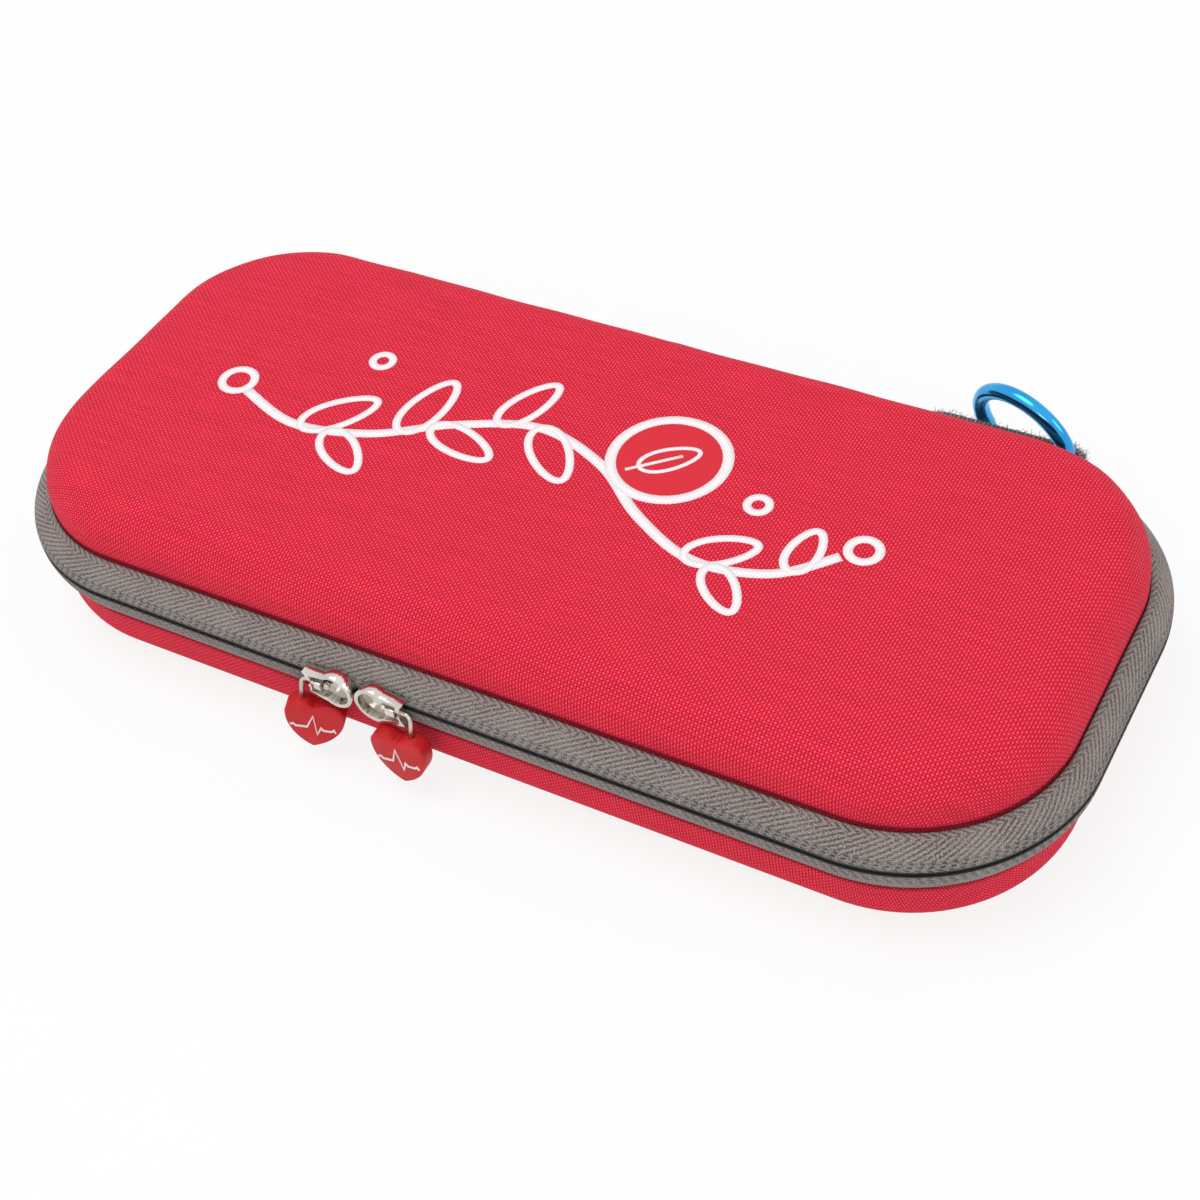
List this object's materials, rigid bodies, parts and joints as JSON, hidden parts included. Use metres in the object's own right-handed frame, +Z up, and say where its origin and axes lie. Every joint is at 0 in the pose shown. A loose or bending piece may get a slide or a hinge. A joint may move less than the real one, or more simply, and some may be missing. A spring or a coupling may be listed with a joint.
{
  "type": "stethoscope hard case",
  "caption": "Hard oblong zip case with a hinged lid, two sliders with heart pulls along the front, and a snap hook on a webbing loop at the back.",
  "frame": {"origin": "centre of the base's flat bottom, on the surface the case stands on", "axes": "+X along the long side to the right as the zip front is seen, +Y from the zip front to the hinged back, +Z up"},
  "size_m": [0.28, 0.1579, 0.0472],
  "materials": {
    "cover_cloth": "woven polyester cloth laminated on foam",
    "foam_core": "moulded closed-cell foam",
    "lining_cloth": "black brushed lining",
    "binding_tape": "black woven binding",
    "zip_tape": "grey herringbone zip tape",
    "zip_coil": "black nylon coil",
    "webbing": "grey woven webbing",
    "elastic": "black knitted elastic",
    "net": "black knotted net",
    "nickel": "bright nickel plate on zinc casting",
    "steel_wire": "bright nickel-plated steel wire",
    "soft_pvc": "matt soft moulded PVC",
    "anodised": "glossy blue anodised aluminium"
  },
  "bodies": {
    "base": {"base_cover": "cover_cloth", "base_shell": "foam_core", "base_lining": "lining_cloth", "base_edge_binding": "binding_tape", "lower_zip_tape": "zip_tape", "lower_zip_coil": "zip_coil", "lower_zip_stops": "nickel", "hinge_strip": "zip_tape", "hang_loop": "webbing", "left_elastic_strap": "elastic", "right_elastic_strap": "elastic"},
    "lid": {"lid_cover": "cover_cloth", "lid_shell": "foam_core", "lid_lining": "lining_cloth", "lid_edge_binding": "binding_tape", "upper_zip_tape": "zip_tape", "upper_zip_coil": "zip_coil", "upper_zip_stops": "nickel", "mesh_pocket": "net", "pocket_elastic": "elastic"},
    "left_slider_body": {"left_slider": "nickel"},
    "right_slider_body": {"right_slider": "nickel"},
    "left_pull": {"left_pull_wire": "steel_wire", "left_heart_pull": "soft_pvc"},
    "right_pull": {"right_pull_wire": "steel_wire", "right_heart_pull": "soft_pvc"},
    "hook_body": {"snap_hook": "anodised", "gate_pin": "steel_wire"},
    "gate_body": {"hook_gate": "anodised"}
  },
  "joints": [
    {"name": "lid_hinge", "type": "hinge", "parent": "base", "child": "lid", "pos_m": [0, 0.0646, 0.0252], "axis": [-1, 0, 0], "range_deg": [0, 150], "deforming": ["hinge_strip", "hang_loop"]},
    {"name": "left_slider_run", "type": "slide", "parent": "base", "child": "left_slider_body", "axis": [-1, 0, 0], "range_m": [0, 0.054]},
    {"name": "right_slider_run", "type": "slide", "parent": "base", "child": "right_slider_body", "axis": [1, 0, 0], "range_m": [0, 0.102]},
    {"name": "left_pull_swing", "type": "hinge", "parent": "left_slider_body", "child": "left_pull", "pos_m": [-0.02715, -0.0665, 0.0252], "axis": [-1, 0, 0], "range_deg": [0, 120]},
    {"name": "right_pull_swing", "type": "hinge", "parent": "right_slider_body", "child": "right_pull", "pos_m": [-0.01305, -0.0665, 0.0252], "axis": [-1, 0, 0], "range_deg": [0, 120]},
    {"name": "hook_tip", "type": "hinge", "parent": "base", "child": "hook_body", "pos_m": [0.08781, 0.08301, 0.00267], "axis": [-0.9511, 0.309, 0], "range_deg": [0, 98]},
    {"name": "gate_swing", "type": "hinge", "parent": "hook_body", "child": "gate_body", "pos_m": [0.08022, 0.08383, 0.00851], "axis": [0.2985, 0.9187, 0.2588], "range_deg": [0, 28], "stiffness_Nm_per_rad": 0.02}
  ],
  "couplings": [
    {"joint": "hook_tip", "follows": "lid_hinge", "ratio": 0.65}
  ]
}
